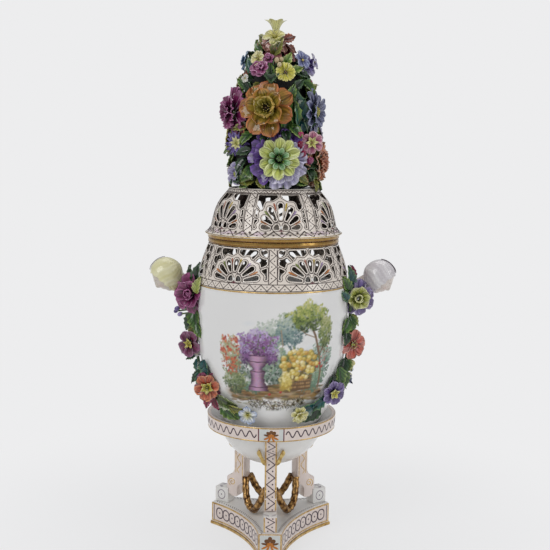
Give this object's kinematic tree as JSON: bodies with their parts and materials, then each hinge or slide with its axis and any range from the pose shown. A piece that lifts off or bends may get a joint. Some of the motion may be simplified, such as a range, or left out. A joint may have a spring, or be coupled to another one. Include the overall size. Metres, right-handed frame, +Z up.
{
  "type": "pierced lidded vase",
  "caption": "Footed porcelain vase with a pierced shoulder and a pierced domed lid under a flower finial, mask heads at its sides, on a tripod stand.",
  "frame": {"origin": "on the vase's axis, level with the surface the plinth stands on", "axes": "+Z up along the vase's axis, -Y towards the viewer of the painted front and over one plinth corner, +X to the viewer's right"},
  "size_m": [0.2336, 0.1446, 0.4946],
  "materials": {
    "white_porcelain": "gloss",
    "pink_porcelain": "gloss",
    "burnished_gilding": "burnished gold on ceramic",
    "brass": "satin",
    "felt": "matt felt",
    "leaf_enamel": "gloss",
    "yellow_green_enamel": "gloss",
    "ochre_enamel": "gloss",
    "yellow_enamel": "gloss",
    "crimson_enamel": "gloss",
    "blue_enamel": "gloss",
    "violet_enamel": "gloss",
    "red_enamel": "gloss",
    "pink_enamel": "gloss"
  },
  "bodies": {
    "vase": {"plinth": "pink_porcelain", "corner_block_1": "white_porcelain", "corner_block_2": "white_porcelain", "corner_block_3": "white_porcelain", "leg_1": "pink_porcelain", "leg_2": "pink_porcelain", "leg_3": "pink_porcelain", "garland_1": "burnished_gilding", "garland_2": "burnished_gilding", "garland_3": "burnished_gilding", "stand_bowl": "pink_porcelain", "vase_body": "white_porcelain", "washer_upper": "felt", "washer_lower": "felt", "fixing_bolt": "brass", "fixing_nut": "brass", "pierced_shoulder": "white_porcelain", "mouth_ring": "burnished_gilding", "mask_head_left": "white_porcelain", "swag_left_vine": "leaf_enamel", "swag_left_rose": "crimson_enamel", "swag_left_pansy": "crimson_enamel", "swag_left_poppy": "red_enamel", "swag_left_white_flower": "blue_enamel", "mask_head_right": "white_porcelain", "swag_right_vine": "leaf_enamel", "swag_right_rose": "violet_enamel", "swag_right_anemone": "red_enamel", "swag_right_pansy": "violet_enamel", "swag_right_yellow_flower": "yellow_enamel"},
    "lid": {"lid_lip": "pink_porcelain", "lid_dome": "white_porcelain", "lid_crown": "white_porcelain", "finial_mound": "leaf_enamel", "finial_lotus": "yellow_green_enamel", "finial_rose": "ochre_enamel", "finial_primrose": "yellow_enamel", "finial_dahlia": "crimson_enamel", "finial_daisy": "blue_enamel", "finial_aster": "violet_enamel", "finial_ochre_carnation": "red_enamel", "finial_pink_flower": "pink_enamel", "finial_lilac_flower": "violet_enamel", "finial_mauve_roses": "pink_enamel", "finial_violet": "violet_enamel", "finial_cornflower": "blue_enamel", "finial_back_peony": "pink_enamel", "finial_back_rose": "ochre_enamel", "finial_back_aster_left": "violet_enamel", "finial_back_aster_right": "crimson_enamel", "finial_back_daisy": "blue_enamel", "finial_back_violet": "violet_enamel", "finial_back_primrose": "yellow_enamel", "finial_star_flower": "yellow_enamel", "finial_trumpet_flower": "yellow_green_enamel"}
  },
  "joints": [
    {"name": "lid_lift", "type": "slide", "parent": "vase", "child": "lid", "axis": [0, 0, 1], "range_m": [0, 0.08]}
  ]
}
